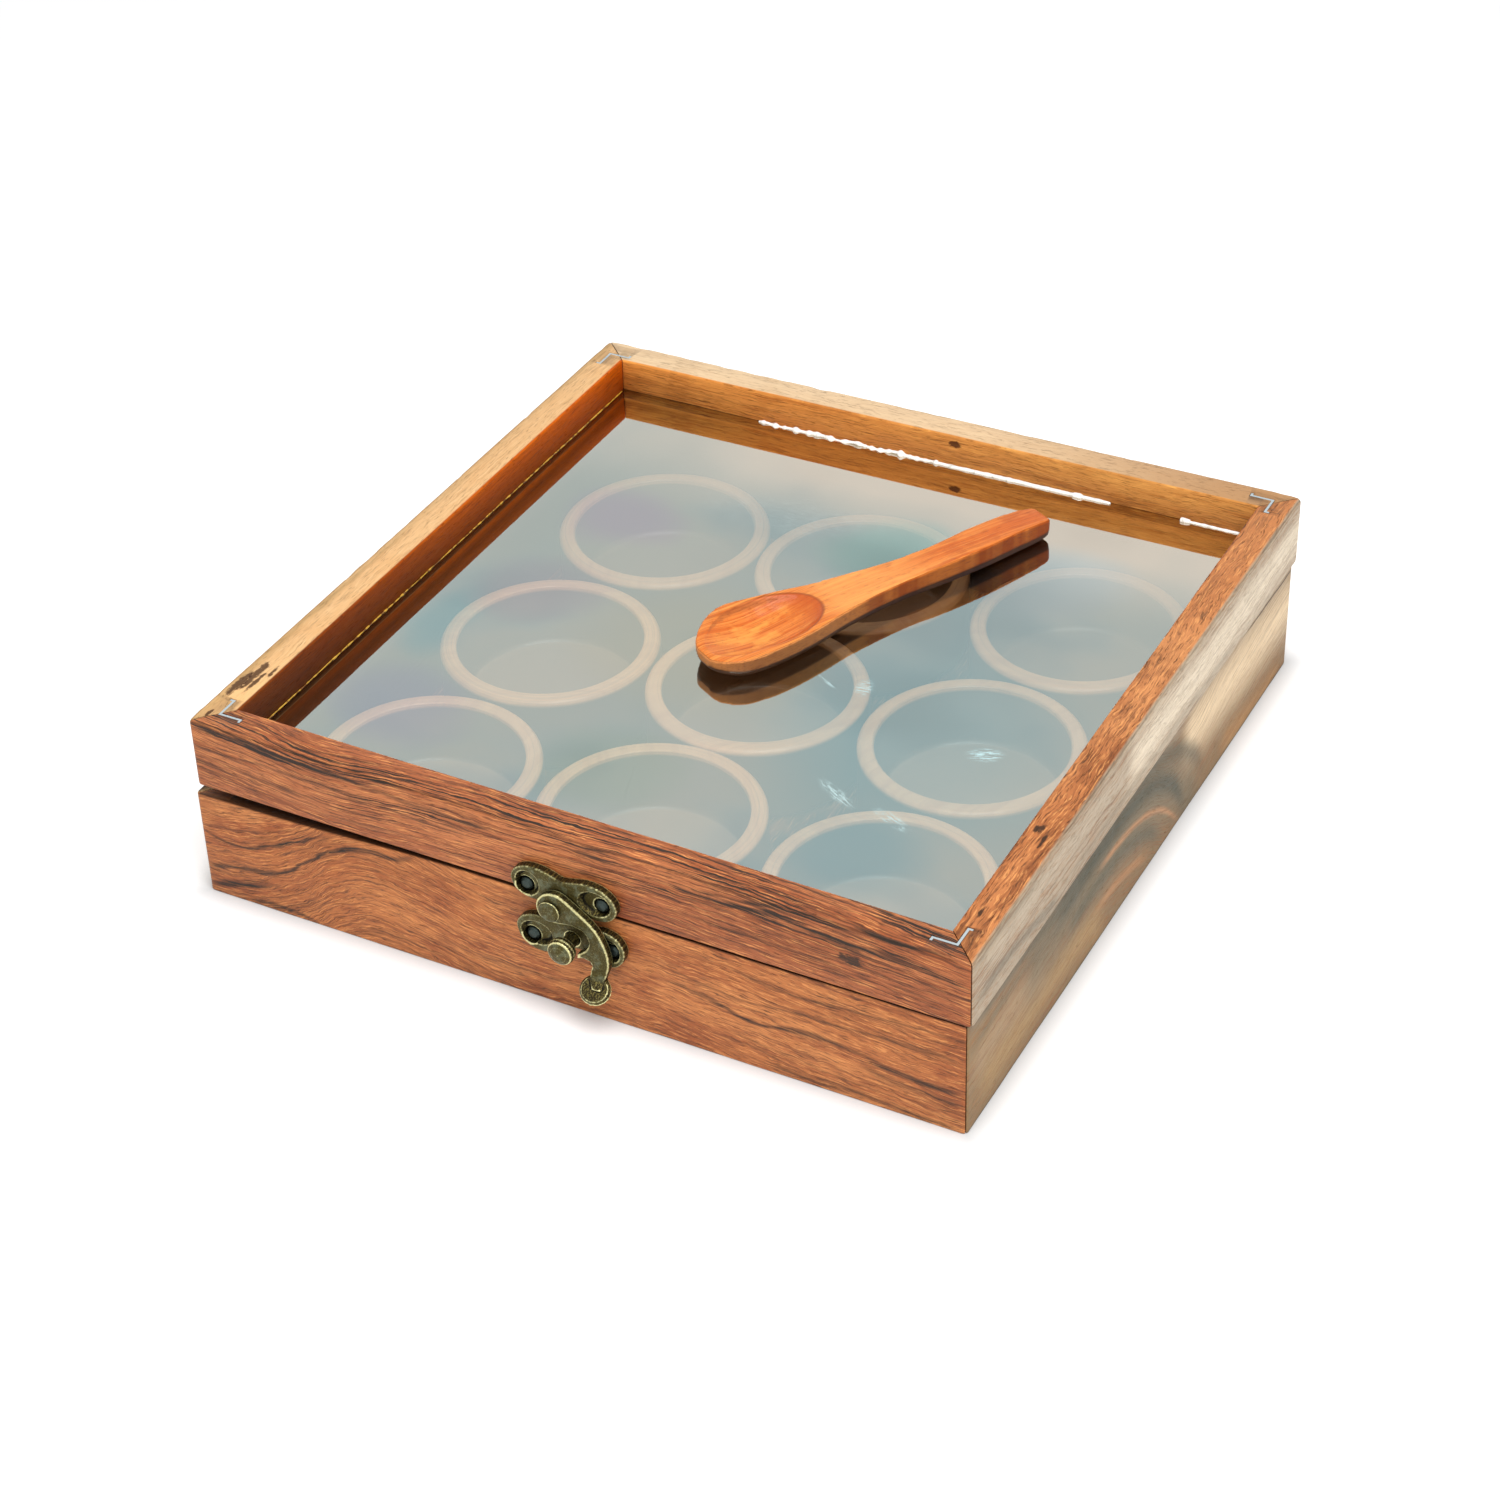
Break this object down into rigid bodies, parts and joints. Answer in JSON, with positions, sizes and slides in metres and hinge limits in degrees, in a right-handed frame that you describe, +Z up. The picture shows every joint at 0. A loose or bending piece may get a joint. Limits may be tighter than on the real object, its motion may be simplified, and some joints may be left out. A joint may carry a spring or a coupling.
{
  "type": "wooden compartment box",
  "caption": "Square wooden box with a hinged glazed lid, a swing hook latch, loose turned cups inside and a carved spoon on the lid.",
  "frame": {"origin": "centre of the underside of the case, on the surface that the box stands on", "axes": "+Z up; -Y is the front with the latch, the hinges are at +Y; +X is to the right seen from the front"},
  "size_m": [0.2311, 0.2408, 0.0583],
  "materials": {
    "red_wood": "open-grained reddish-brown hardwood with dark streaks, oiled, satin",
    "pale_wood": "paler tan boards of the same wood, oiled, satin",
    "floor_board": "thin plain board, dull",
    "cup_wood": "turned pale hardwood, fine-sanded, dull",
    "spoon_wood": "orange-brown carved wood, lacquered",
    "pane_glass": "clear polished sheet with a faint dusty haze",
    "antique_brass": "cast, darkened, with bright worn edges",
    "hinge_brass": "rolled sheet, dulled",
    "steel": "zinc-bright small fasteners"
  },
  "bodies": {
    "box": {"base_front_wall": "red_wood", "base_back_wall": "pale_wood", "base_left_wall": "pale_wood", "base_right_wall": "red_wood", "bottom_board": "floor_board", "base_corner_nail_front_left": "steel", "base_corner_nail_front_right": "steel", "base_corner_nail_back_right": "steel", "base_corner_nail_back_left": "steel", "hinge_left_base_leaf": "hinge_brass", "hinge_left_pin": "steel", "hinge_left_base_screw_outer": "steel", "hinge_left_base_screw_inner": "steel", "hinge_right_base_leaf": "hinge_brass", "hinge_right_pin": "steel", "hinge_right_base_screw_outer": "steel", "hinge_right_base_screw_inner": "steel", "latch_lower_plate": "antique_brass", "latch_post": "antique_brass", "latch_lower_nail_left": "steel", "latch_lower_nail_right": "steel"},
    "lid": {"lid_front_rail": "red_wood", "lid_back_rail": "pale_wood", "lid_left_rail": "pale_wood", "lid_right_rail": "red_wood", "glass_pane": "pane_glass", "lid_corner_nail_front_left": "steel", "lid_corner_nail_front_right": "steel", "lid_corner_nail_back_right": "steel", "lid_corner_nail_back_left": "steel", "hinge_left_lid_leaf": "hinge_brass", "hinge_left_lid_screw_outer": "steel", "hinge_left_lid_screw_inner": "steel", "hinge_right_lid_leaf": "hinge_brass", "hinge_right_lid_screw_outer": "steel", "hinge_right_lid_screw_inner": "steel", "latch_upper_plate": "antique_brass", "latch_rivet": "antique_brass", "latch_upper_nail_left": "steel", "latch_upper_nail_right": "steel"},
    "hook": {"latch_hook": "antique_brass"},
    "cup_back_left": {"cup_back_left": "cup_wood"},
    "cup_back_middle": {"cup_back_middle": "cup_wood"},
    "cup_back_right": {"cup_back_right": "cup_wood"},
    "cup_middle_left": {"cup_middle_left": "cup_wood"},
    "cup_centre": {"cup_centre": "cup_wood"},
    "cup_middle_right": {"cup_middle_right": "cup_wood"},
    "cup_front_left": {"cup_front_left": "cup_wood"},
    "cup_front_middle": {"cup_front_middle": "cup_wood"},
    "cup_front_right": {"cup_front_right": "cup_wood"},
    "spoon": {"spoon": "spoon_wood"}
  },
  "joints": [
    {"name": "lid_hinge", "type": "hinge", "parent": "box", "child": "lid", "pos_m": [0, 0.113, 0.036], "axis": [-1, 0, 0], "range_deg": [0, 110]},
    {"name": "hook_swing", "type": "hinge", "parent": "lid", "child": "hook", "pos_m": [-0.0002, -0.115, 0.0364], "axis": [0, -1, 0], "range_deg": [-18, 110]},
    {"name": "cup_back_left_lift", "type": "slide", "parent": "box", "child": "cup_back_left", "axis": [0, 0, 1], "range_m": [0, 0.012]},
    {"name": "cup_back_middle_lift", "type": "slide", "parent": "box", "child": "cup_back_middle", "axis": [0, 0, 1], "range_m": [0, 0.012]},
    {"name": "cup_back_right_lift", "type": "slide", "parent": "box", "child": "cup_back_right", "axis": [0, 0, 1], "range_m": [0, 0.012]},
    {"name": "cup_middle_left_lift", "type": "slide", "parent": "box", "child": "cup_middle_left", "axis": [0, 0, 1], "range_m": [0, 0.012]},
    {"name": "cup_centre_lift", "type": "slide", "parent": "box", "child": "cup_centre", "axis": [0, 0, 1], "range_m": [0, 0.012]},
    {"name": "cup_middle_right_lift", "type": "slide", "parent": "box", "child": "cup_middle_right", "axis": [0, 0, 1], "range_m": [0, 0.012]},
    {"name": "cup_front_left_lift", "type": "slide", "parent": "box", "child": "cup_front_left", "axis": [0, 0, 1], "range_m": [0, 0.012]},
    {"name": "cup_front_middle_lift", "type": "slide", "parent": "box", "child": "cup_front_middle", "axis": [0, 0, 1], "range_m": [0, 0.012]},
    {"name": "cup_front_right_lift", "type": "slide", "parent": "box", "child": "cup_front_right", "axis": [0, 0, 1], "range_m": [0, 0.012]},
    {"name": "spoon_lift", "type": "slide", "parent": "lid", "child": "spoon", "axis": [0, 0, 1], "range_m": [0, 0.06]}
  ]
}
